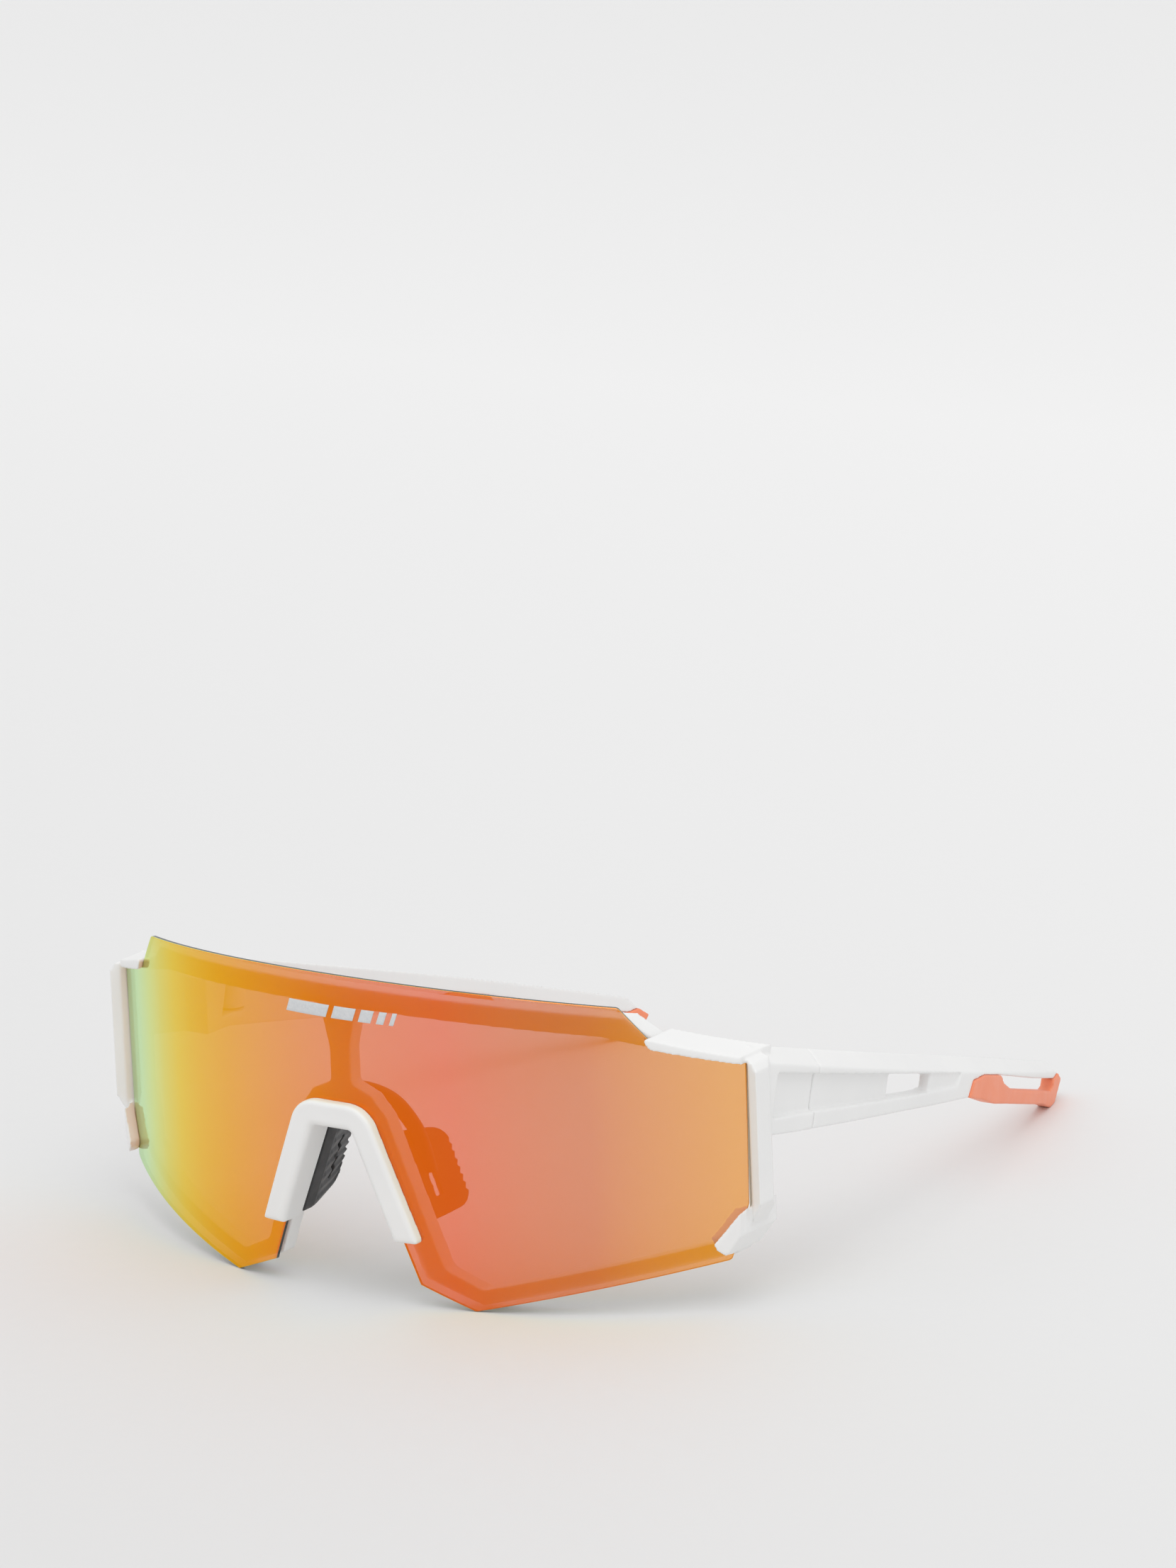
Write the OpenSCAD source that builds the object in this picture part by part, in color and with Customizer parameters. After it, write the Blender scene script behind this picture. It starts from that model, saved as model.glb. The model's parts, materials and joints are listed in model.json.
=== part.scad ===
// Wraparound sport sunglasses: a one-piece shield lens in a half-hidden frame, with two folding temples.
// The glasses stand on the lens's two lower points and on the ear tips. +Y points to the wearer,
// +X to the right hand of someone facing the glasses, and +Z up.

/* [Lens] */
// Radius of the lens's front surface
lens_r = 96; // [90:1:110]
// Thickness of the lens
lens_t = 2; // [1.6:0.1:2.2]
// Height of the lens at its middle, above its two lower points
lens_h = 58.5; // [57:0.5:60]
// Fall of the lens's top edge from its middle to its top corners
brow_fall = 3.15; // [2:0.05:4]
// Half width of the lens at its top corners
top_half_w = 50.9; // [49:0.1:52]
// Half width of the lens at its outer edges
lens_half_w = 68; // [67.5:0.1:68.5]
// Distance of each lower point from the middle
low_point_x = 26; // [24:0.5:28]

/* [Nose] */
// Half width of the nose cut-out at the lower end of the nose bridge
nose_half_w = 12.8; // [12:0.1:13.5]
// Height of the top of the nose cut-out
nose_top = 31.8; // [30:0.1:33]
// Lean of the nose cut-out's sides from upright, in degrees
nose_lean = 22; // [20:0.5:24]
// Width of the nose bridge's trim on the front of the lens
trim_w = 3.9; // [3:0.1:4.5]
// Height that the trim stands proud of the lens
trim_proud = 2; // [1.5:0.1:2.5]

/* [Frame] */
// Depth of the brow bar and the rims behind the lens
rim_t = 3.4; // [2.5:0.1:4]
// Height of the brow bar
brow_h = 3.8; // [3:0.1:5]
// Height of the lower rims
rim_h = 3.3; // [2.5:0.1:4]
// Width of the centre strut
strut_w = 4.4; // [4:0.1:6]
// Half width over the end pieces
end_half_w = 70.8; // [70.5:0.1:71.5]

/* [Temples] */
// Drop of the temples towards the ear tips, in degrees
temple_drop = 16.7; // [16.5:0.1:17.2]
// Plan radius of the temples' inward curve
temple_r = 420; // [400:5:450]
// Thickness of a temple at its seam
temple_t = 3.8; // [3.4:0.1:3.8]
// Thickness of a temple at its far end
temple_tip_t = 2.2; // [2:0.1:2.6]
// Length of a temple from its seam to the end of its ear tip
temple_l = 117; // [115:1:119]
// Depth of the recessed panel in a temple's outer face
recess = 1.3; // [0.6:0.1:1.6]

/* [Hinges] */
// Radius of a hinge screw's shank
screw_r = 0.7; // [0.6:0.05:0.8]
// Radial running clearance of the screw in a temple's knuckle
hinge_gap = 0.05; // [0.03:0.01:0.1]
// Radius of the temples' knuckles
knuckle_r = 2.4; // [2.2:0.1:2.4]
// Radius of the end pieces' ears, which clear the temple's inner face as it turns
ear_r = 2.15; // [2:0.05:2.2]

/* [Hidden] */
$fn = 96;
// Facets of the small rounded corners of the outlines.
corner_fn = 24;

white = [0.93, 0.93, 0.92];
black = [0.12, 0.12, 0.13];
coral = [0.93, 0.45, 0.33];
steel = [0.72, 0.72, 0.74];

// The seam between an end piece and its temple: the outer top corner of the joint.
seam = [69.3, 49, 38.4];
seam_gap = 0.08;
// The hinge's axis is upright, on the inner side of the temple.
hinge_x = 63;
hinge_y = 52.5;
// Heights up the hinge, from the foot of the lower ear to the top of the upper ear.
ear_foot = 28.4;
ear_low = 30.6;
knuckle_foot = 31;
knuckle_top = 36.4;
ear_up = 36.8;
ear_top = 39.2;
washer_t = 0.3;
// The end of the ear tip, below the temple's top line.
tip_w = -1.2;
// The span of the whole object along Y, from the lens's front at its middle, which the origin halves.
front_y = -trim_proud;
back_y = seam[1] + temple_l * cos(temple_drop) + tip_w * sin(temple_drop);
mid_y = (front_y + back_y) / 2;
inner_r = lens_r - lens_t;
back_r = inner_r - rim_t;
tall = 80;

// Moves the design so that the origin is under the middle of the object's box.
module placed() {
    translate([0, -mid_y, 0]) children();
}

// Mirrors a right-hand part to the left when side is -1.
module on_side(side) {
    if (side < 0) mirror([1, 0, 0]) children();
    else children();
}

// A front view outline (x, z) made solid from y0 to y1.
module front_view(y0, y1) {
    translate([0, y1, 0]) rotate([90, 0, 0]) linear_extrude(y1 - y0) children();
}

// A ring about the lens's own axis, between two radii.
module ring(outer, inner) {
    translate([0, lens_r, -tall / 4]) difference() {
        cylinder(h = tall, r = outer, $fn = 240);
        translate([0, 0, -1]) cylinder(h = tall + 2, r = inner, $fn = 240);
    }
}

// The part of a front view outline that lies between two radii of the lens's axis.
module wrapped(outer, inner) {
    intersection() {
        ring(outer, inner);
        front_view(-6, 60) children();
    }
}

// Points of the arched top edge, lowered by drop, from half width w on the left to the right.
function arch(w, drop) =
    [for (i = [-12 : 12]) let (x = w * i / 12) [x, lens_h - drop - brow_fall * pow(x / top_half_w, 2)]];

// Mirrors a list of points to the other side, in reverse order.
function mirrored(points) = [for (i = [len(points) - 1 : -1 : 0]) [-points[i][0], points[i][1]]];

// Half width of the nose cut-out at height z.
function nose_x(z) = nose_half_w + (11.7 - z) * tan(nose_lean);

// Right side of the lens below its top corner, down to the nose and on into the cut-out.
lens_side = [[55.4, 49.2], [lens_half_w, 45.4], [lens_half_w - 0.3, 19.1], [65.3, 9.2],
             [low_point_x, 0], [nose_x(4) - 3, 5.2]];

module nose_cut(grow) {
    offset(r = 2, $fn = corner_fn) offset(delta = grow - 2)
        polygon([[-nose_x(-8), -8], [nose_x(-8), -8], [nose_x(nose_top), nose_top],
                 [-nose_x(nose_top), nose_top]]);
}

module lens_outline() {
    difference() {
        offset(r = 0.8, $fn = corner_fn) offset(delta = -0.8)
            polygon(concat(arch(top_half_w, 0), lens_side, mirrored(lens_side)));
        nose_cut(0);
    }
}

module lens() {
    color([0.93, 0.5, 0.25, 0.8]) placed() wrapped(lens_r, inner_r) lens_outline();
}

// Opening of the frame behind the lens on the right: under the brow bar, beside the strut and nose,
// and above the lower rim. It runs out past the lens's outer edge, where the end piece holds it.
module eye_opening() {
    offset(r = 1, $fn = corner_fn) offset(delta = -1)
        polygon(concat([for (p = arch(47, 2.4 + brow_h)) if (p[0] > 3) p],
                       [[54.4, 47.4], [75, 41], [75, 12], [66, 12], [62.2, 9.2 + rim_h - 0.6],
                        [low_point_x, rim_h], [19.2, 6.6], [nose_x(nose_top) + 4.6, 33],
                        [6.4, 36.6], [strut_w / 2, 38.4], [strut_w / 2, 45]]));
}

module frame_outline() {
    difference() {
        intersection() {
            offset(delta = -0.5) polygon(concat(arch(top_half_w, 1.9), lens_side, mirrored(lens_side)));
            translate([-65, 0]) square([130, tall]);
        }
        nose_cut(-0.1);
        eye_opening();
        mirror([1, 0]) eye_opening();
    }
}

module front_frame() {
    color(white) placed() wrapped(inner_r, back_r) difference() {
        frame_outline();
        end_outline(0);
        mirror([1, 0]) end_outline(0);
    }
}

// Front view of the right end piece: a lip over the lens's top step, the outer bar, and the clip
// over the lower corner.
module end_outline(grow) {
    offset(r = 0.4, $fn = corner_fn) offset(delta = grow - 0.4)
        polygon([[54.6, 50.3], [55.8, 48], [68.9, 44.1], [68.6, 19.8], [64, 12.9], [64.2, 11.8],
                 [65.7, 10.2], [end_half_w, 19.2], [end_half_w, 43.8], [69.8, 45.1]]);
}

// Front view of the outer bar, a little inside the lip and the clip where it meets them.
module bar_outline() {
    offset(r = 0.4, $fn = corner_fn) offset(delta = -0.4)
        polygon([[65.4, 10.9], [65.4, 46], [69.8, 44.7], [end_half_w, 43.4], [end_half_w, 19.6]]);
}

// Plan view of the outer bar of the right end piece. It covers the lens's edge.
module bar_plan() {
    polygon([[66, 30.4], [67.6, 28.8], [68.8, 27.3], [end_half_w, 26.8], [end_half_w, 30.8], [69.6, 32.8],
             [66, 32.8]]);
}

// Distance from the seam back to the point where the temple's plan curve runs straight back.
lead = 16;
// Height and width of the sloped facet along the top of a temple.
facet_h = 2.7;
facet_w = 3;

// A bar bent about an upright axis, from u0 to u1 along the temple, between two radii. near is the
// distance of the circle of radius r inwards from the seam.
// u runs along the temple from the seam and w up from its outer top edge.
module bent_bar(r, near, u0, u1) {
    start = asin((u0 + lead) / r);
    translate([-near - sqrt(pow(r, 2) - pow(lead, 2)), -lead, 0])
        rotate_extrude(start = start, angle = asin((u1 + lead) / r) - start, $fn = 720) children();
}

// A plain stretch of the temple's curve, between two depths under its outer face.
module temple_layer(shallow, deep, u0, u1) {
    bent_bar(temple_r, 0, u0, u1)
        translate([temple_r - deep, -16]) square([deep - shallow, 22]);
}

// The temple's own section with its sloped top facet, with an inner side at depth deep.
module temple_bar(deep, u0, u1) {
    bent_bar(temple_r, 0, u0, u1)
        translate([temple_r, 0])
            polygon([[-deep, -16], [0, -16], [0, 0], [-facet_w, facet_h], [-deep, facet_h]]);
}

// Everything outside the temple's inner face, whose wider curve thins the temple towards its end.
module thinning(extra, u0, u1) {
    drop = pow(temple_l + lead, 2) - pow(lead, 2);
    inner_curve_r = drop / (drop / temple_r - 2 * (temple_t - temple_tip_t)) * 0.999;
    bent_bar(inner_curve_r, temple_t + extra, u0, u1)
        translate([inner_curve_r, -18]) square([30, 26]);
}

// Sets children in the frame of the right temple, whose origin is the seam's outer top corner.
module at_seam() {
    translate(seam) rotate([-temple_drop, 0, 0]) children();
}

// A side view outline (u, w) made solid across the temple.
module side_view() {
    rotate([90, 0, 90]) translate([0, 0, -60]) linear_extrude(80) children();
}

// Side view of the recessed panel, which runs on from the end piece into the temple.
module recess_outline(u0, u1) {
    intersection() {
        polygon([[-13.5, -1.5], [57, -0.1], [55.5, -2.6], [27, -5.2], [0, -7.8], [-13.5, -9.5]]);
        translate([u0, -16]) square([u1 - u0, 20]);
    }
}

// Half of the hinge that belongs to the end piece: an upper and a lower ear, and the web that joins
// them to the rails in front of the slanted seam.
module hinge_ears() {
    web_y = 42;
    for (z = [[ear_foot, ear_low], [ear_up, ear_top]]) {
        translate([hinge_x, hinge_y, z[0]]) cylinder(h = z[1] - z[0], r = ear_r);
        translate([hinge_x - ear_r, web_y, z[0]]) cube([2 * ear_r, hinge_y - web_y, z[1] - z[0]]);
    }
    intersection() {
        translate([hinge_x - ear_r, web_y, ear_foot])
            cube([seam[0] - temple_t / 2 - hinge_x + ear_r, 8, ear_top - ear_foot]);
        at_seam() translate([-20, -30, -20]) cube([40, 30 - seam_gap, 40]);
    }
}

// The clip stands further forward than the lip, up to its own top.
clip_proud = 2.1;
clip_top = 22;
head_r = 1.2;
head_h = 0.8;
nut_r = 1.5;
nut_h = 1.4;

module hinge_bores() {
    translate([hinge_x, hinge_y, ear_foot - 1]) cylinder(h = ear_top - ear_foot + 2, r = screw_r);
    translate([hinge_x, hinge_y, ear_top - head_h]) cylinder(h = 2, r = head_r);
    translate([hinge_x, hinge_y, ear_foot - 1]) cylinder(h = nut_h + 1, r = nut_r);
}

module end_piece(side) {
    color(white) placed() on_side(side) difference() {
        union() {
            // The lip and the clip, which follow the lens's curve.
            wrapped(lens_r + 1.2, back_r) intersection() {
                end_outline(0);
                square([67.9, tall]);
            }
            wrapped(lens_r + clip_proud, lens_r + 0.5) intersection() {
                end_outline(-0.1);
                square([67.7, clip_top]);
            }
            // The outer bar.
            intersection() {
                translate([0, 0, -1]) linear_extrude(tall) bar_plan();
                front_view(20, 40) bar_outline();
            }
            // The upper and lower rails with the panel between them, back to the seam.
            at_seam() intersection() {
                temple_bar(temple_t, -21, 2);
                side_view()
                    polygon([[-19.5, 3], [-seam_gap, 3], [-seam_gap, -11], [-12, -12.3], [-15, -12.3]]);
            }
            hinge_ears();
        }
        at_seam() intersection() {
            temple_layer(-3, recess, -16, 1);
            side_view() recess_outline(-13.5, 1);
        }
        hinge_bores();
        // The slot that takes the lens's edge.
        wrapped(lens_r, inner_r) offset(delta = 0.05) lens_outline();
    }
}

// Thickness of the nose bridge's wall and of the nose pad's lip behind it.
wall_t = 0.8;
// Where the wall ends and the pad's lip begins.
wall_back = 4.4;

module nose_bridge() {
    foot = 11.8;
    module above_foot() {
        intersection() {
            children();
            translate([-30, foot]) square([60, 40]);
        }
    }
    color(white) placed() union() {
        // The trim on the front of the lens.
        wrapped(lens_r + trim_proud, lens_r) above_foot() difference() {
            nose_cut(trim_w);
            nose_cut(-wall_t);
        }
        // The wall through the cut-out.
        intersection() {
            ring(lens_r + trim_proud, lens_r - 40);
            front_view(-6, wall_back) above_foot() difference() {
                nose_cut(-0.1);
                nose_cut(-wall_t);
            }
        }
    }
}

// One wing of the nose pad on the right, leaning with the nose and opening towards the wearer.
module pad_wing() {
    wing_l = 18;
    translate([nose_x(12.4), 0, 12.4]) rotate([0, -nose_lean, 0])
        linear_extrude(wing_l) polygon([[-0.4, 7], [2.2, 7], [4, 18], [3.3, 19], [2.4, 18.9]]);
}

// The nose pad: an arch behind the frame with a lip inside the frame's cut-out, and two wings.
module nose_pad() {
    pad_w = 5;
    color(black) placed() union() {
        difference() {
            front_view(wall_back + 0.1, 10) difference() {
                nose_cut(pad_w);
                nose_cut(-wall_t);
                translate([-30, -20]) square([60, 33]);
            }
            intersection() {
                ring(lens_r + 5, back_r);
                front_view(-6, 12) difference() {
                    translate([-30, 0]) square([60, 50]);
                    nose_cut(-0.15);
                }
            }
        }
        pad_wing();
        mirror([1, 0, 0]) pad_wing();
    }
}

// Side view of the white part of a temple, down to the ear tip.
module temple_outline() {
    polygon([[seam_gap, 3], [104, 3], [111, 1.9], [temple_l - 2.6, -0.2], [112, -1.2], [99, -1.1],
             [76, -0.4], [68.4, -0.4], [63, -1.5], [61.8, -4.6], [32, -7.4], [seam_gap, -10.9]]);
}

// Rear end of the window through a temple's panel, behind which the panel is shallower.
window_end = 43.2;
shallow_recess = 0.5;

// Side view of the window through the panel of a temple.
module window_outline(grow) {
    offset(delta = grow) recess_outline(27.6, window_end);
}

// Side view of the tongue inside the ear tip's front lobe.
module tongue_outline() {
    polygon([[60, -1.4], [68.4, -0.6], [75, -0.6], [78, -3.4], [74, -4.4], [60, -3.8]]);
}

// Side view of the coral ear tip, without its open window.
module ear_tip_outline() {
    difference() {
        polygon([[61.8, -4.6], [63, -1.5], [68.4, -0.4], [76, -0.4], [99, -1.1], [112, -1.2],
                 [temple_l - 2.6, -0.2], [temple_l, tip_w], [114.8, -5], [113.8, -7], [106, -6],
                 [82, -5.7], [75.6, -5.7], [68.3, -4.9]]);
        polygon([[76.6, 0], [79, -1.8], [84.3, -3.1], [109.6, -3.5], [111.2, -2.7], [111.6, 0]]);
    }
}

module tongue() {
    intersection() {
        temple_layer(1, 2.2, 58, 80);
        side_view() tongue_outline();
    }
}

module temple(side) {
    color(white) placed() on_side(side) difference() {
        union() {
            at_seam() difference() {
                union() {
                    intersection() {
                        temple_bar(temple_t + 2, -2, temple_l + 2);
                        thinning(0, -2, temple_l + 4);
                        side_view() temple_outline();
                    }
                    tongue();
                }
                // The recessed panel, and the pocket that thins it around its window.
                intersection() {
                    temple_layer(-3, recess, -1, window_end + 2);
                    side_view() recess_outline(-1, window_end);
                }
                intersection() {
                    temple_layer(-3, shallow_recess, window_end - 3, 60);
                    side_view() recess_outline(window_end - 1, 60);
                }
                intersection() {
                    temple_layer(recess + 0.8, temple_t + 3, 24, 48);
                    side_view() offset(delta = -0.4) recess_outline(26, window_end + 2);
                }
                side_view() window_outline(-0.15);
            }
            translate([hinge_x, hinge_y, knuckle_foot])
                cylinder(h = knuckle_top - knuckle_foot, r = knuckle_r);
            translate([hinge_x, hinge_y - knuckle_r, knuckle_foot])
                cube([seam[0] - temple_t / 2 - hinge_x, 2 * knuckle_r, knuckle_top - knuckle_foot]);
        }
        translate([hinge_x, hinge_y, 0]) cylinder(h = tall, r = screw_r + hinge_gap);
    }
}

module ear_tip(side) {
    proud = 0.3;
    color(coral) placed() on_side(side) intersection() {
        at_seam() difference() {
            intersection() {
                temple_layer(-proud, temple_t + 2, 58, temple_l + 2);
                thinning(proud, 56, temple_l + 4);
                side_view() ear_tip_outline();
            }
            tongue();
        }
        // The flat underside that the glasses rest on.
        cube([tall, 200, tall]);
    }
}

module hinge_screw(side) {
    slot_w = 0.3;
    slot_d = 0.35;
    color(steel) placed() on_side(side) translate([hinge_x, hinge_y, 0]) difference() {
        union() {
            translate([0, 0, ear_foot]) cylinder(h = ear_top - head_h - ear_foot, r = screw_r);
            translate([0, 0, ear_top - head_h]) cylinder(h = head_h, r = head_r);
        }
        translate([-head_r - 1, -slot_w / 2, ear_top - slot_d]) cube([2 * head_r + 2, slot_w, 1]);
    }
}

module hinge_nut(side) {
    color(steel) placed() on_side(side) translate([hinge_x, hinge_y, ear_foot]) difference() {
        cylinder(h = nut_h, r = nut_r);
        translate([0, 0, -1]) cylinder(h = nut_h + 2, r = screw_r);
    }
}

module hinge_washers(side) {
    color(steel) placed() on_side(side)
        for (z = [ear_low, ear_up - washer_t])
            translate([hinge_x, hinge_y, z]) difference() {
                cylinder(h = washer_t, r = knuckle_r - 0.3);
                translate([0, 0, -1]) cylinder(h = washer_t + 2, r = screw_r + hinge_gap);
            }
}

lens();
front_frame();
end_piece(-1);  // end_piece_left
end_piece(1);  // end_piece_right
nose_bridge();
nose_pad();
temple(-1);  // temple_left
temple(1);  // temple_right
ear_tip(-1);  // ear_tip_left
ear_tip(1);  // ear_tip_right
hinge_screw(-1);  // hinge_screw_left
hinge_screw(1);  // hinge_screw_right
hinge_nut(-1);  // hinge_nut_left
hinge_nut(1);  // hinge_nut_right
hinge_washers(-1);  // hinge_washers_left
hinge_washers(1);  // hinge_washers_right
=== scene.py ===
# Wraparound sport sunglasses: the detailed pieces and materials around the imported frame.
import json
from math import atan2, cos, hypot, pi, radians, sin, tan

import bmesh
import bpy
import numpy as np
from mathutils import Matrix, Vector
from mathutils.geometry import delaunay_2d_cdt


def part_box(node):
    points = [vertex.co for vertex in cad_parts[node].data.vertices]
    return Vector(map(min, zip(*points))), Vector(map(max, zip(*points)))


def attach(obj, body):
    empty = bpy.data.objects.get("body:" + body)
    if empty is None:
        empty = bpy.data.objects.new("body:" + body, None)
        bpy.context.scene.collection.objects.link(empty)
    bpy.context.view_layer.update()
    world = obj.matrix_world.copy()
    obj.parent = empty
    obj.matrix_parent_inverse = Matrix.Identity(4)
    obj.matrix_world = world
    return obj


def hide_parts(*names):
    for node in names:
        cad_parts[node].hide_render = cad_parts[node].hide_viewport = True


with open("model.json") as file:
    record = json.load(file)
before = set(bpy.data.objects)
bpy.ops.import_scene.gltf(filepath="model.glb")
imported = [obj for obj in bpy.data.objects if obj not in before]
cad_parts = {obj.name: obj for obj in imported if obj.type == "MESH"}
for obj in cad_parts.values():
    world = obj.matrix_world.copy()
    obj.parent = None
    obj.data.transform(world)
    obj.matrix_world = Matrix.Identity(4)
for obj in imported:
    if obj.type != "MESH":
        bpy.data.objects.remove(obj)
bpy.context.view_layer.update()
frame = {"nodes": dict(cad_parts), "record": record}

MM = 0.001
LENS_R = 96.0
LENS_INNER_R = 94.12
NOSE_LEAN = radians(22)
APEX_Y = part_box("lens")[0].y / MM
AXIS_Y = APEX_Y + LENS_R
BODIES = frame["record"]["behaviour"]["bodies"]
BODY_OF = {node: body for body, nodes in BODIES.items() for node in nodes}


def at(x, y, z):
    """A point measured in mm from the front of the lens at its middle, as the design measures it."""
    return Vector((x, y + APEX_Y, z)) * MM


def on_lens(radius, arc, height):
    """A point on a cylinder about the lens's axis, in mm: arc is measured along the lens's front."""
    angle = arc / LENS_R
    return Vector((radius * sin(angle), AXIS_Y - radius * cos(angle), height)) * MM


# Camera, lights and floor


def place_camera():
    azimuth, elevation, roll = radians(35.672), radians(14.371), radians(-2.362)
    distance, shift_right, shift_up = 1395.427, 20.773, 56.467
    back = Vector((sin(azimuth) * cos(elevation), -cos(azimuth) * cos(elevation), sin(elevation)))
    level = Vector((cos(azimuth), sin(azimuth), 0))
    upright = back.cross(level)
    right = level * cos(roll) + upright * sin(roll)
    up = upright * cos(roll) - level * sin(roll)
    data = bpy.data.cameras.new("Camera")
    data.sensor_width = 36
    data.lens = 179.47
    data.clip_start = 0.05
    camera = bpy.data.objects.new("Camera", data)
    bpy.context.scene.collection.objects.link(camera)
    spot = at(0, 40, 25) + (back * distance + right * shift_right + up * shift_up) * MM
    turn = Matrix((right, up, back)).transposed().to_4x4()
    camera.matrix_world = Matrix.Translation(spot) @ turn
    bpy.context.scene.camera = camera


def softbox(name, place, aim, size, power):
    data = bpy.data.lights.new(name, "AREA")
    data.shape = "SQUARE"
    data.size = size
    data.energy = power
    lamp = bpy.data.objects.new(name, data)
    bpy.context.scene.collection.objects.link(lamp)
    facing = Vector(aim) - Vector(place)
    lamp.matrix_world = Matrix.Translation(place) @ facing.to_track_quat("-Z", "Y").to_matrix().to_4x4()


def light_studio():
    world = bpy.data.worlds.new("Studio")
    world.use_nodes = True
    air = world.node_tree.nodes["Background"]
    air.inputs["Color"].default_value = (1.0, 1.0, 1.0, 1)
    air.inputs["Strength"].default_value = 0.83
    bpy.context.scene.world = world
    bpy.context.scene.view_settings.view_transform = "Standard"
    softbox("key_light", (0.35, -0.45, 1.1), (0, 0, 0.02), 1.0, 4.2)
    softbox("fill_light", (-0.9, -0.3, 0.7), (0, 0, 0.03), 0.7, 0.2)


def lay_floor():
    half = 6.0
    mesh = bpy.data.meshes.new("floor")
    corners = [(-half, -half, 0), (half, -half, 0), (half, half, 0), (-half, half, 0)]
    mesh.from_pydata(corners, [], [(0, 1, 2, 3)])
    floor = bpy.data.objects.new("floor", mesh)
    bpy.context.scene.collection.objects.link(floor)
    mesh.materials.append(floor_painted_light())


# Materials


def new_material(name):
    material = bpy.data.materials.new(name)
    material.use_nodes = True
    return material, material.node_tree, material.node_tree.nodes["Principled BSDF"]


def noise(tree, scale, detail=3.0, stretch=(1, 1, 1)):
    """Noise in the object's own metres: scale is in features per metre."""
    place = tree.nodes.new("ShaderNodeTexCoord")
    mapping = tree.nodes.new("ShaderNodeMapping")
    mapping.inputs["Scale"].default_value = stretch
    texture = tree.nodes.new("ShaderNodeTexNoise")
    texture.inputs["Scale"].default_value = scale
    texture.inputs["Detail"].default_value = detail
    tree.links.new(place.outputs["Object"], mapping.inputs["Vector"])
    tree.links.new(mapping.outputs["Vector"], texture.inputs["Vector"])
    return texture.outputs["Fac"]


def spread(tree, source, low, high):
    """Maps a noise to the range from low to high."""
    node = tree.nodes.new("ShaderNodeMapRange")
    node.inputs["From Min"].default_value = 0.3
    node.inputs["From Max"].default_value = 0.7
    node.inputs["To Min"].default_value = low
    node.inputs["To Max"].default_value = high
    tree.links.new(source, node.inputs["Value"])
    return node.outputs["Result"]


def blended(tree, source, first, second):
    """A colour between first and second, as the noise source says."""
    node = tree.nodes.new("ShaderNodeMix")
    node.data_type = "RGBA"
    node.inputs["A"].default_value = (*first, 1)
    node.inputs["B"].default_value = (*second, 1)
    tree.links.new(spread(tree, source, 0, 1), node.inputs["Factor"])
    return node.outputs["Result"]


def bump(tree, source, depth, normal=None):
    """A bump of the given depth in metres."""
    node = tree.nodes.new("ShaderNodeBump")
    node.inputs["Strength"].default_value = 1.0
    node.inputs["Distance"].default_value = depth
    tree.links.new(source, node.inputs["Height"])
    if normal is not None:
        tree.links.new(normal, node.inputs["Normal"])
    return node.outputs["Normal"]


def moulded_finish(name, first, second, rough, grain, depth):
    """Moulded plastic or rubber: slow colour drift, roughness that varies, and a fine grain."""
    material, tree, shader = new_material(name)
    tree.links.new(blended(tree, noise(tree, 70), first, second), shader.inputs["Base Color"])
    tree.links.new(spread(tree, noise(tree, 350), *rough), shader.inputs["Roughness"])
    broad = bump(tree, noise(tree, 160, 1.0), depth * 2)
    tree.links.new(bump(tree, noise(tree, grain), depth, broad), shader.inputs["Normal"])
    return material, shader


def white_plastic():
    material, shader = moulded_finish(
        "white_plastic", (0.875, 0.875, 0.868), (0.845, 0.845, 0.842), (0.3, 0.42), 5200, 0.000004)
    shader.inputs["IOR"].default_value = 1.5
    return material


def black_rubber():
    material, shader = moulded_finish(
        "black_rubber", (0.02, 0.02, 0.022), (0.034, 0.034, 0.036), (0.48, 0.64), 3800, 0.000014)
    shader.inputs["Sheen Weight"].default_value = 0.08
    return material


def coral_rubber():
    material, shader = moulded_finish(
        "coral_rubber", (0.95, 0.3, 0.155), (0.9, 0.27, 0.14), (0.42, 0.56), 4200, 0.000008)
    shader.inputs["Sheen Weight"].default_value = 0.1
    return material


def screw_steel():
    material, tree, shader = new_material("screw_steel")
    shader.inputs["Metallic"].default_value = 1.0
    tint = blended(tree, noise(tree, 900), (0.72, 0.72, 0.74), (0.6, 0.6, 0.62))
    tree.links.new(tint, shader.inputs["Base Color"])
    turned = noise(tree, 3000, 2.0, (1, 1, 8))
    tree.links.new(spread(tree, turned, 0.22, 0.4), shader.inputs["Roughness"])
    tree.links.new(bump(tree, turned, 0.000004), shader.inputs["Normal"])
    return material


def lens_edge():
    material, tree, shader = new_material("lens_edge")
    tint = blended(tree, noise(tree, 400), (0.012, 0.016, 0.02), (0.03, 0.032, 0.035))
    tree.links.new(tint, shader.inputs["Base Color"])
    tree.links.new(spread(tree, noise(tree, 1500), 0.2, 0.35), shader.inputs["Roughness"])
    tree.links.new(bump(tree, noise(tree, 2500), 0.000005), shader.inputs["Normal"])
    return material


# The mirror coating's colour, from facing the eye (0) to edge on (1).
FILM = [
    (0.0, (0.92, 0.33, 0.02)),
    (0.06, (0.85, 0.215, 0.025)),
    (0.13, (1.0, 0.16, 0.01)),
    (0.21, (1.0, 0.2, 0.005)),
    (0.3, (1.0, 0.3, 0.0)),
    (0.36, (1.0, 0.37, 0.0)),
    (0.44, (1.0, 0.45, 0.0)),
    (0.52, (1.0, 0.54, 0.02)),
    (0.6, (0.99, 0.66, 0.06)),
    (0.66, (0.92, 0.735, 0.15)),
    (0.72, (0.84, 0.83, 0.32)),
    (0.79, (0.73, 0.87, 0.56)),
    (0.9, (0.5, 0.7, 0.5)),
]


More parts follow.
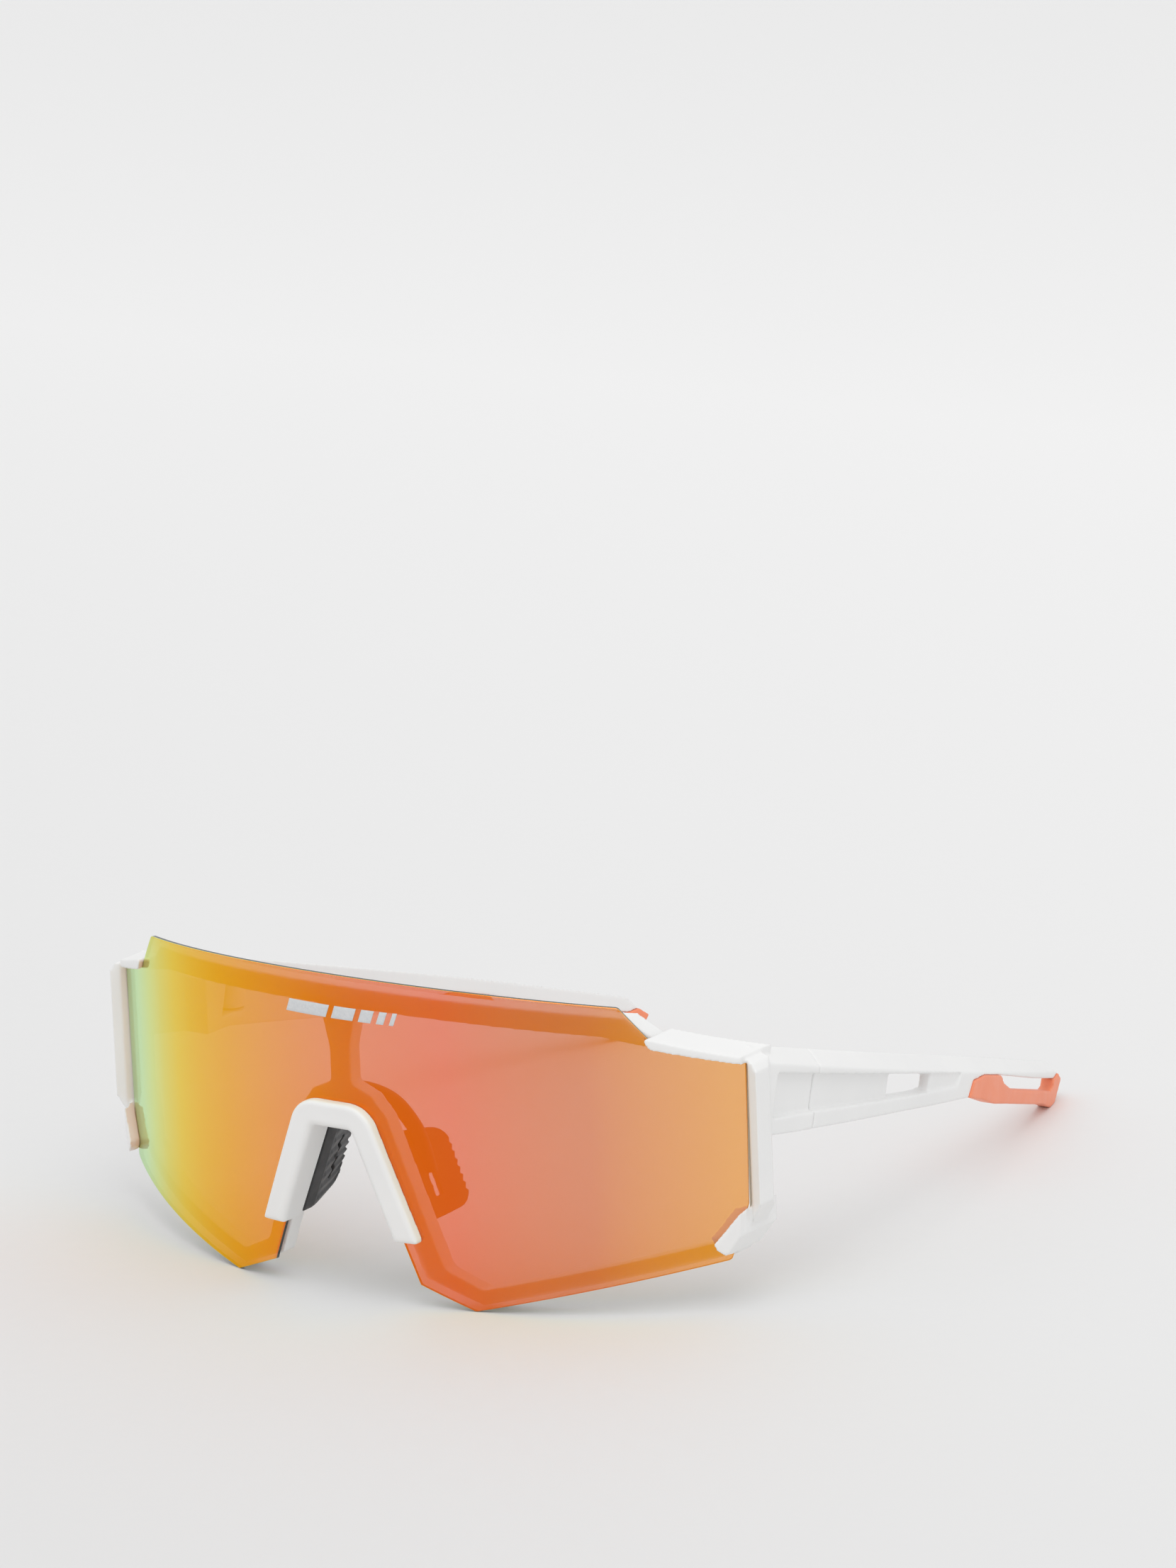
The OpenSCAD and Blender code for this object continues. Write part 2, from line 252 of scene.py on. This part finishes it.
def film_colour(tree):
    """Interference colour: it turns from orange through yellow to green as the surface turns away."""
    weight = tree.nodes.new("ShaderNodeLayerWeight")
    weight.inputs["Blend"].default_value = 0.5
    drift = spread(tree, noise(tree, 14, 1.0), -0.015, 0.015)
    total = tree.nodes.new("ShaderNodeMath")
    total.operation = "ADD"
    total.use_clamp = True
    tree.links.new(weight.outputs["Facing"], total.inputs[0])
    tree.links.new(drift, total.inputs[1])
    ramp = tree.nodes.new("ShaderNodeValToRGB")
    stops = ramp.color_ramp.elements
    stops[0].position, stops[1].position = FILM[0][0], FILM[-1][0]
    stops[0].color, stops[1].color = (*FILM[0][1], 1), (*FILM[-1][1], 1)
    for place, colour in FILM[1:-1]:
        stops.new(place).color = (*colour, 1)
    tree.links.new(total.outputs["Value"], ramp.inputs["Fac"])
    return thinned(tree, ramp.outputs["Color"])


def thinned(tree, colour):
    """The film is thinner, and so more yellow, towards the lens's right end."""
    place = tree.nodes.new("ShaderNodeTexCoord")
    parts = tree.nodes.new("ShaderNodeSeparateXYZ")
    tree.links.new(place.outputs["Object"], parts.inputs["Vector"])
    reach = tree.nodes.new("ShaderNodeMapRange")
    reach.inputs["From Min"].default_value = 0.046
    reach.inputs["From Max"].default_value = 0.066
    reach.inputs["To Max"].default_value = 0.8
    tree.links.new(parts.outputs["X"], reach.inputs["Value"])
    mix = tree.nodes.new("ShaderNodeMix")
    mix.data_type = "RGBA"
    mix.inputs["B"].default_value = (1.0, 0.43, 0.0, 1)
    tree.links.new(reach.outputs["Result"], mix.inputs["Factor"])
    tree.links.new(colour, mix.inputs["A"])
    return mix.outputs["Result"]


def see_through(tree, shader, share, tint):
    """Mixes a clear, tinted share into a material, so that what is behind it shows."""
    clear = tree.nodes.new("ShaderNodeBsdfTransparent")
    clear.inputs["Color"].default_value = (*tint, 1)
    mix = tree.nodes.new("ShaderNodeMixShader")
    if isinstance(share, float):
        mix.inputs["Fac"].default_value = share
    else:
        tree.links.new(share, mix.inputs["Fac"])
    tree.links.new(shader.outputs["BSDF"], mix.inputs[1])
    tree.links.new(clear.outputs["BSDF"], mix.inputs[2])
    tree.links.new(mix.outputs["Shader"], tree.nodes["Material Output"].inputs["Surface"])


def grazing_share(tree, facing, edge_on):
    """The clear share, which falls from facing the eye to edge on."""
    weight = tree.nodes.new("ShaderNodeLayerWeight")
    weight.inputs["Blend"].default_value = 0.5
    node = tree.nodes.new("ShaderNodeMapRange")
    node.inputs["From Min"].default_value = 0.2
    node.inputs["From Max"].default_value = 0.58
    node.inputs["To Min"].default_value = facing
    node.inputs["To Max"].default_value = edge_on
    tree.links.new(weight.outputs["Facing"], node.inputs["Value"])
    return node.outputs["Result"]


def lens_mirror():
    material, tree, shader = new_material("lens_mirror")
    shader.inputs["Metallic"].default_value = 1.0
    shader.inputs["Specular Tint"].default_value = (0.85, 1.0, 0.75, 1)
    tree.links.new(film_colour(tree), shader.inputs["Base Color"])
    tree.links.new(spread(tree, noise(tree, 120), 0.035, 0.065), shader.inputs["Roughness"])
    tree.links.new(bump(tree, noise(tree, 90, 1.0), 0.000002), shader.inputs["Normal"])
    see_through(tree, shader, grazing_share(tree, 0.17, 0.045), (1.0, 1.15, 1.25))
    return material


def lens_inside():
    material, tree, shader = new_material("lens_inside")
    tint = blended(tree, noise(tree, 60), (0.03, 0.032, 0.036), (0.04, 0.042, 0.046))
    tree.links.new(tint, shader.inputs["Base Color"])
    tree.links.new(spread(tree, noise(tree, 200), 0.04, 0.09), shader.inputs["Roughness"])
    see_through(tree, shader, 0.94, (0.96, 0.98, 1.0))
    return material


def print_silver():
    material, tree, shader = new_material("print_silver")
    tint = blended(tree, noise(tree, 2500), (0.62, 0.64, 0.66), (0.7, 0.71, 0.72))
    tree.links.new(tint, shader.inputs["Base Color"])
    tree.links.new(spread(tree, noise(tree, 5000), 0.4, 0.55), shader.inputs["Roughness"])
    tree.links.new(bump(tree, noise(tree, 6000), 0.000003), shader.inputs["Normal"])
    return material


def floor_painted_light():
    """Pale paper with painted light and shade: its colour is darker in front and paler towards the back, as
    uneven light would make it.
    """
    material, tree, shader = new_material("floor_painted_light")
    place = tree.nodes.new("ShaderNodeTexCoord")
    parts = tree.nodes.new("ShaderNodeSeparateXYZ")
    tree.links.new(place.outputs["Object"], parts.inputs["Vector"])
    # Painted light and shade: the paper's colour runs from 0.7 in front to 0.96 at the back, in place of
    # uneven studio light and a soft shadow's falloff.
    depth = tree.nodes.new("ShaderNodeMapRange")
    depth.inputs["From Min"].default_value = -0.3
    depth.inputs["From Max"].default_value = 0.6
    tree.links.new(parts.outputs["Y"], depth.inputs["Value"])
    mix = tree.nodes.new("ShaderNodeMix")
    mix.data_type = "RGBA"
    mix.inputs["A"].default_value = (0.7, 0.7, 0.7, 1)
    mix.inputs["B"].default_value = (0.96, 0.96, 0.96, 1)
    tree.links.new(depth.outputs["Result"], mix.inputs["Factor"])
    tree.links.new(mix.outputs["Result"], shader.inputs["Base Color"])
    tree.links.new(spread(tree, noise(tree, 300), 0.6, 0.75), shader.inputs["Roughness"])
    return material


# Mesh helpers


def link_piece(name, mesh, materials, body, nodes=()):
    """Makes a mesh into a piece that rides on a body and stands for CAD nodes."""
    for material in materials:
        mesh.materials.append(material)
    piece = bpy.data.objects.new(name, mesh)
    bpy.context.scene.collection.objects.link(piece)
    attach(piece, body)
    if nodes:
        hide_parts(*nodes)
    return piece


def settled(mesh, steps):
    """The mesh with modifiers applied: steps are (kind, {setting: value})."""
    carrier = bpy.data.objects.new("carrier", mesh)
    bpy.context.scene.collection.objects.link(carrier)
    for kind, settings in steps:
        modifier = carrier.modifiers.new(kind.title(), kind)
        for setting, value in settings.items():
            setattr(modifier, setting, value)
    graph = bpy.context.evaluated_depsgraph_get()
    graph.update()
    result = bpy.data.meshes.new_from_object(carrier.evaluated_get(graph), depsgraph=graph)
    bpy.data.objects.remove(carrier)
    return result


def cad_mesh(node):
    """A welded copy of a CAD node's mesh, without its materials."""
    mesh = frame["nodes"][node].data.copy()
    mesh.materials.clear()
    work = bmesh.new()
    work.from_mesh(mesh)
    bmesh.ops.remove_doubles(work, verts=work.verts, dist=0.002 * MM)
    bmesh.ops.recalc_face_normals(work, faces=work.faces)
    work.to_mesh(mesh)
    work.free()
    return mesh


def rounded(mesh, voxel, rounds, keep):
    """A solid skinned again in one piece, with its edges rounded as a mould leaves them."""
    mesh = settled(mesh, [
        ("REMESH", {"mode": "VOXEL", "voxel_size": voxel * MM, "adaptivity": 0.0}),
        ("SMOOTH", {"factor": 0.5, "iterations": rounds}),
        ("DECIMATE", {"ratio": keep}),
    ])
    mesh.materials.clear()
    mesh.shade_smooth()
    return mesh


def moulded_piece(node, material, voxel=0.26, rounds=5, keep=0.45):
    mesh = rounded(cad_mesh(node), voxel, rounds, keep)
    return link_piece(node + "_moulded", mesh, [material], BODY_OF[node], [node])


def machined_piece(node, material):
    """A small metal part with its edges broken."""
    mesh = settled(cad_mesh(node), [
        ("DECIMATE", {"decimate_type": "DISSOLVE", "angle_limit": radians(1)}),
        ("BEVEL", {"width": 0.06 * MM, "segments": 2, "limit_method": "ANGLE", "angle_limit": radians(40)}),
    ])
    mesh.materials.clear()
    mesh.shade_smooth()
    mesh.set_sharp_from_angle(angle=radians(35))
    return link_piece(node + "_metal", mesh, [material], BODY_OF[node], [node])


# Curved plates: the lens and the printed mark


def outline_of(node, radius):
    """The outline of a CAD node's face on the lens's cylinder, in order, as (arc, height) in mm."""
    work = bmesh.new()
    work.from_mesh(cad_mesh(node))

    def on_face(vert):
        return abs(hypot(vert.co.x / MM, vert.co.y / MM - AXIS_Y) - radius) < 0.01

    faces = {face for face in work.faces if all(on_face(vert) for vert in face.verts)}
    rim = [edge for edge in work.edges if sum(face in faces for face in edge.link_faces) == 1]
    beside = {}
    for edge in rim:
        for vert in edge.verts:
            beside.setdefault(vert, []).append(edge.other_vert(vert))
    start = rim[0].verts[0]
    loop = [start]
    last, here = None, start
    while True:
        following = next(vert for vert in beside[here] if vert is not last)
        if following is start:
            break
        loop.append(following)
        last, here = here, following
    points = [(atan2(v.co.x, AXIS_Y * MM - v.co.y) * LENS_R, v.co.z / MM) for v in loop]
    work.free()
    return points


def in_steps(points, step):
    """The closed outline, anticlockwise: long stretches are split to about step, crowded points dropped."""
    crowded = 0.16
    kept = [Vector(points[0])]
    for point in map(Vector, points[1:]):
        if min((point - kept[-1]).length, (point - kept[0]).length) > crowded:
            kept.append(point)
    points = kept
    result = []
    for p, q in zip(points, points[1:] + points[:1]):
        count = max(1, round((q - p).length / step))
        result += [p.lerp(q, i / count) for i in range(count)]
    area = sum(p.cross(q) for p, q in zip(result, result[1:] + result[:1]))
    return result if area > 0 else result[::-1]


def inset(loop, depth):
    """The closed outline, which runs anticlockwise, moved inwards by depth."""
    moved = []
    for before, here, after in zip(loop[-1:] + loop[:-1], loop, loop[1:] + loop[:1]):
        first = (here - before).normalized()
        second = (after - here).normalized()
        inward = Vector((-first.y - second.y, first.x + second.x)).normalized()
        lean = max(0.4, inward.dot(Vector((-first.y, first.x))))
        moved.append(here + inward * (depth / lean))
    return moved


def inside(loop, points, margin):
    """Which points lie inside the outline, at least margin from it."""
    a = np.array(loop)
    b = np.roll(a, -1, axis=0)
    keep = []
    for p in points:
        crosses = (a[:, 1] > p[1]) != (b[:, 1] > p[1])
        rise = np.where(crosses, b[:, 1] - a[:, 1], 1.0)
        reach = a[:, 0] + (p[1] - a[:, 1]) / rise * (b[:, 0] - a[:, 0])
        clear = np.hypot(a[:, 0] - p[0], a[:, 1] - p[1]).min() > margin
        keep.append(bool((crosses & (p[0] < reach)).sum() % 2) and clear)
    return keep


def filled(loop, grid):
    """Points inside the outline and the triangles that fill it. The outline's own points come first."""
    low, high = np.min(loop, axis=0), np.max(loop, axis=0)
    rows = [
        (x + (row % 2) * grid / 2, low[1] + row * grid * 0.87)
        for row in range(int((high[1] - low[1]) / grid / 0.87) + 1)
        for x in np.arange(low[0], high[0], grid)
    ]
    extra = [Vector(p) for p, keep in zip(rows, inside(loop, rows, grid * 0.6)) if keep]
    edges = [(i, (i + 1) % len(loop)) for i in range(len(loop))]
    _, _, faces, origins, _, _ = delaunay_2d_cdt(list(loop) + extra, edges, [], 1, 1e-6)
    source = [found[0] for found in origins]
    return extra, [[source[i] for i in face] for face in faces]


def plate(loop, rings, grid):
    """A closed plate curved about the lens's axis. rings are (radius, inset), from front to back."""
    loops = [inset(loop, depth) if depth else loop for _, depth in rings]
    extra, faces = filled(loops[0], grid)
    count = len(loop)
    points = [on_lens(radius, p.x, p.y) for (radius, _), ring in zip(rings, loops) for p in ring]
    front = len(points)
    points += [on_lens(rings[0][0], p.x, p.y) for p in extra]
    back = len(points)
    points += [on_lens(rings[-1][0], p.x, p.y) for p in extra]
    last = (len(rings) - 1) * count
    polygons = [[i if i < count else front + i - count for i in face] for face in faces]
    caps = len(polygons)
    polygons += [[last + i if i < count else back + i - count for i in reversed(face)] for face in faces]
    for ring in range(len(rings) - 1):
        for i in range(count):
            j = (i + 1) % count
            a, b = ring * count, (ring + 1) * count
            polygons.append([a + j, a + i, b + i, b + j])
    mesh = bpy.data.meshes.new("plate")
    mesh.from_pydata(points, [], polygons)
    mesh.shade_smooth()
    return mesh, caps, count


def set_plate_normals(mesh, loop, rings, count):
    """Gives the plate the true normals of its cylinder, so that its reflections have no facets."""
    outward = [Vector((-n.x, -n.y)) for n in (q - p for p, q in zip(loop, inset(loop, 1.0)))]
    last = len(rings) - 1
    first_extra = count * len(rings)
    first_behind = first_extra + (len(mesh.vertices) - first_extra) // 2
    normals = []
    for index, vert in enumerate(mesh.vertices):
        radial = Vector((vert.co.x, vert.co.y - AXIS_Y * MM, 0)).normalized()
        ring, spot = divmod(index, count)
        if ring > last:
            normals.append(radial if index < first_behind else -radial)
            continue
        tilt = {0: 1.0, 1: 0.7, last - 1: -0.7, last: -1.0}.get(ring, 0.0)
        around = Vector((-radial.y, radial.x, 0))
        side = around * outward[spot].x + Vector((0, 0, outward[spot].y))
        normals.append((radial * tilt + side.normalized() * (1 - abs(tilt))).normalized())
    mesh.normals_split_custom_set_from_vertices(normals)


def build_lens():
    loop = in_steps(outline_of("lens", LENS_R), 1.0)
    rings = [(LENS_R, 0.25), (LENS_R - 0.07, 0.07), (LENS_R - 0.25, 0), (LENS_R - 0.85, 0),
             (LENS_R - 1.0, 0.08), (LENS_INNER_R, 0.95)]
    mesh, caps, count = plate(loop, rings, 2.0)
    mirror, edge, inner = 0, 1, 2
    marks = [mirror] * caps + [inner] * caps
    for material in (mirror, mirror, edge, inner, inner):
        marks += [material] * count
    mesh.polygons.foreach_set("material_index", marks)
    set_plate_normals(mesh, loop, rings, count)
    materials = [lens_mirror(), lens_edge(), lens_inside()]
    link_piece("lens_shield", mesh, materials, "front", ["lens"])


def build_mark():
    """A plain printed mark of slanted bars on the lens."""
    middle, foot, tall, slant, gap = 1.5, 50.7, 2.3, 0.9, 1.1
    widths = [9.0, 4.6, 2.6, 1.5, 0.9]
    left = middle - (sum(widths) + gap * (len(widths) - 1)) / 2
    whole = bmesh.new()
    for width in widths:
        right = left + width
        bar = [(left, foot), (right, foot), (right + slant, foot + tall), (left + slant, foot + tall)]
        mesh, _, _ = plate(in_steps(bar, 0.5), [(LENS_R + 0.04, 0.04), (LENS_R + 0.01, 0)], 0.6)
        whole.from_mesh(mesh)
        left += width + gap
    mesh = bpy.data.meshes.new("mark")
    whole.to_mesh(mesh)
    whole.free()
    link_piece("lens_mark", mesh, [print_silver()], "front")


# The nose bridge and the nose pad


def nose_half(z):
    """Half width of the nose cut-out at height z."""
    foot_half, foot_z = 12.8, 11.7
    return foot_half + (foot_z - z) * tan(NOSE_LEAN)


def nose_path(low):
    """Places along the edge of the nose cut-out from height low on the right, over the top, to the left.

    Each is (point, step): the point at an offset a out from the edge is point + step * a.
    """
    out = Vector((1 / cos(NOSE_LEAN), 0))
    top, corner = 31.8, 2.0
    heights = [low, low + 0.12, low + 0.3, low + 0.6, low + 1.0, 15.0, 18.5, 22.0, 26.0]
    path = [(Vector((nose_half(z), z)), out) for z in heights]
    centre_z = top - corner
    centre = Vector((nose_half(centre_z) - corner / cos(NOSE_LEAN), centre_z))
    for i in range(17):
        angle = NOSE_LEAN + (pi / 2 - NOSE_LEAN) * i / 16
        out = Vector((cos(angle), sin(angle)))
        path.append((centre + out * corner, out))
    path.append((Vector((0, top)), Vector((0, 1))))
    return path + [(Vector((-p.x, p.y)), Vector((-out.x, out.y))) for p, out in reversed(path[:-1])]


def swept(rings):
    """A closed solid through rings of points, which all have the same count."""
    work = bmesh.new()
    verts = [[work.verts.new(point) for point in ring] for ring in rings]
    count = len(rings[0])
    for first, second in zip(verts, verts[1:]):
        for i in range(count):
            j = (i + 1) % count
            work.faces.new([first[i], first[j], second[j], second[i]])
    work.faces.new(list(reversed(verts[0])))
    work.faces.new(verts[-1])
    bmesh.ops.recalc_face_normals(work, faces=work.faces)
    return work


def arc(centre, radius, start, end, steps):
    """Points of an arc about centre, in degrees."""
    turns = [radians(start + (end - start) * i / steps) for i in range(steps + 1)]
    return [(centre[0] + radius * cos(turn), centre[1] + radius * sin(turn)) for turn in turns]


def bridge_ring(spot, out, blunt):
    """The bridge's section: a trim on the lens and a wall in the cut-out, blunted at the legs' ends."""
    wide, wall, proud, deep = 3.9, 0.8, 2.0, 4.4
    face = arc((wide - 0.8, 0.8), 0.8, 0, -90, 5) + arc((0.6, 1.4), 1.4, -90, -180, 8)
    ring = []
    for across, depth in [(wide, proud)] + face:
        across = min(max(across, 0.3 * blunt - wall), wide - blunt)
        place = spot + out * across
        radius = LENS_R + proud - max(depth, blunt)
        ring.append(at(place.x, LENS_R - (radius ** 2 - place.x ** 2) ** 0.5, place.y))
    for across, back in ((-wall, deep - 0.25), (0.25 - wall, deep), (-0.3, deep), (-0.1, deep - 0.2)):
        place = spot + out * across
        ring.append(at(place.x, back, place.y))
    place = spot + out * -0.1
    ring.append(at(place.x, LENS_R - (LENS_R ** 2 - place.x ** 2) ** 0.5, place.y))
    return ring


def build_nose_bridge(material):
    low, high = 11.8, 1.0
    rings = []
    for spot, out in nose_path(low):
        rise = min(spot.y - low, high)
        blunt = high - (high ** 2 - (high - rise) ** 2) ** 0.5
        rings.append(bridge_ring(spot, out, 0.9 * blunt))
    work = swept(rings)
    mesh = bpy.data.meshes.new("nose_bridge")
    work.to_mesh(mesh)
    work.free()
    mesh = rounded(mesh, 0.16, 3, 0.5)
    link_piece("nose_bridge_moulded", mesh, [material], "front", ["nose_bridge"])


def louvre(turn):
    """A rib's height over one turn: a slow rise and a quick fall."""
    part = turn % 1.0
    return part / 0.75 if part < 0.75 else (1 - part) / 0.25


def wing_point(side, t, v, face):
    """A point of a pad wing: t from the lip back to the free edge, v up it, face 1 on the nose's side."""
    ribs, rib_height, scallop = 7, 0.4, 0.045
    start, bend, end = Vector((-0.5, 4.6)), Vector((-0.4, 7.0)), Vector((2.9, 18.4))
    lip = 0.16
    rib = louvre(v * ribs + 0.6 * t)
    reach = 0.97 + scallop * rib * t
    if t < lip:
        spot = start.lerp(bend, t / lip)
    else:
        spot = bend.lerp(end, (t - lip) / (1 - lip) * reach)
    thick = min(max((t - 0.12) / 0.16, 0.0), 1.0)
    half = 0.29 + 0.42 * thick - 0.3 * t * thick
    swell = rib_height * rib * thick if face > 0 else 0.0
    spot = spot + Vector((-1, 0.28 * thick)).normalized() * (face * half + swell - 0.25 * thick)
    # The free edge's corners are rounded.
    corner_r = 2.7
    turn = max(t - 0.8, 0.0) / 0.2 * 2.6
    corner = corner_r - (corner_r ** 2 - turn ** 2) ** 0.5
    low = 0.1 + 0.6 * t * t + corner
    high = 17.2 - 2.6 * t * t - corner
    rise = low + (high - low) * v
    foot = 12.6
    x = nose_half(foot) + spot.x * cos(NOSE_LEAN) - rise * sin(NOSE_LEAN)
    z = foot + spot.x * sin(NOSE_LEAN) + rise * cos(NOSE_LEAN)
    return at(side * x, spot.y, z)


def slab(point, columns, rows, hole):
    """A closed sheet between two faces, with the cells that hole picks left out."""
    grid = [(i, j) for i in range(columns) for j in range(rows)]
    cells = {(i, j) for i, j in grid if not hole((i + 0.5) / columns, (j + 0.5) / rows)}
    work = bmesh.new()
    verts = {}

    def vert(i, j, face):
        key = (i, j, face)
        if key not in verts:
            verts[key] = work.verts.new(point(i / columns, j / rows, face))
        return verts[key]

    for i, j in cells:
        corners = [(i, j), (i + 1, j), (i + 1, j + 1), (i, j + 1)]
        work.faces.new([vert(*c, 1) for c in corners])
        work.faces.new([vert(*c, -1) for c in reversed(corners)])
        for (a, b), beside in zip(zip(corners, corners[1:] + corners[:1]),
                                  [(i, j - 1), (i + 1, j), (i, j + 1), (i - 1, j)]):
            if beside not in cells:
                work.faces.new([vert(*b, 1), vert(*a, 1), vert(*a, -1), vert(*b, -1)])
    bmesh.ops.recalc_face_normals(work, faces=work.faces)
    return work


def pad_lip():
    """The thin lip that carries the pad on behind the bridge's wall, inside the cut-out."""
    section = [(-0.2, 4.5), (-0.62, 4.5), (-0.8, 4.7), (-0.8, 7.6), (-0.5, 8.0), (-0.2, 8.0)]
    rings = []
    for spot, out in nose_path(13.0):
        places = [spot + out * across for across, _ in section]
        rings.append([at(place.x, back, place.y) for place, (_, back) in zip(places, section)])
    return swept(rings)


def pad_arch():
    """The strap that joins the wings, behind the frame."""
    half_w, half_y, corner = 1.6, 0.85, 0.75
    low, middle, shoulder = (11.0, 12.2, 21.0), (10.3, 11.3, 26.0), (9.0, 10.2, 30.2)
    knots = [Vector(p) for p in (low, middle, shoulder, (5.6, 9.4, 33.9), (0.0, 9.1, 35.2))]
    knots += [Vector((-p.x, p.y, p.z)) for p in reversed(knots[:-1])]
    path = []
    for k in range(1, len(knots) - 2):
        before, first, second, after = knots[k - 1:k + 3]
        for i in range(6):
            t = i / 6
            path.append(0.5 * (2 * first + (second - before) * t
                               + (2 * before - 5 * first + 4 * second - after) * t ** 2
                               + (3 * first - before - 3 * second + after) * t ** 3))
    path = [knots[0]] + path + [knots[-2], knots[-1]]
    section = []
    for across, deep, start in ((1, 1, 0), (-1, 1, 90), (-1, -1, 180), (1, -1, 270)):
        centre = (across * (half_w - corner), deep * (half_y - corner))
        section += arc(centre, corner, start, start + 90, 4)
    rings = []
    for i, spot in enumerate(path):
        along = path[min(i + 1, len(path) - 1)] - path[max(i - 1, 0)]
        out = Vector((along.z, 0, -along.x)).normalized()
        rings.append([at(*(spot + out * a + Vector((0, b, 0)))) for a, b in section])
    return swept(rings)


def build_nose_pad():
    def slot(t, v):
        return 0.52 < t < 0.63 and 0.22 < v < 0.78

    def wing(side):
        return slab(lambda t, v, face: wing_point(side, t, v, face), 40, 126, slot)

    whole = bmesh.new()
    parts = [wing(1), wing(-1), pad_arch(), pad_lip()]
    for part in parts:
        mesh = bpy.data.meshes.new("part")
        part.to_mesh(mesh)
        part.free()
        whole.from_mesh(mesh)
    mesh = bpy.data.meshes.new("nose_pad")
    whole.to_mesh(mesh)
    whole.free()
    mesh = rounded(mesh, 0.17, 2, 0.5)
    link_piece("nose_pad_ribbed", mesh, [black_rubber()], "front", ["nose_pad"])


def build_white_parts():
    white = white_plastic()
    moulded_piece("front_frame", white, 0.28, 4)
    build_nose_bridge(white)
    for side in ("left", "right"):
        moulded_piece("end_piece_" + side, white)
        moulded_piece("temple_" + side, white)


def build_tips_and_hinges():
    coral, steel = coral_rubber(), screw_steel()
    for side in ("left", "right"):
        moulded_piece("ear_tip_" + side, coral, 0.24, 6)
        for part in ("hinge_screw_", "hinge_nut_", "hinge_washers_"):
            machined_piece(part + side, steel)


place_camera()
light_studio()
lay_floor()
build_lens()
build_mark()
build_nose_pad()
build_white_parts()
build_tips_and_hinges()
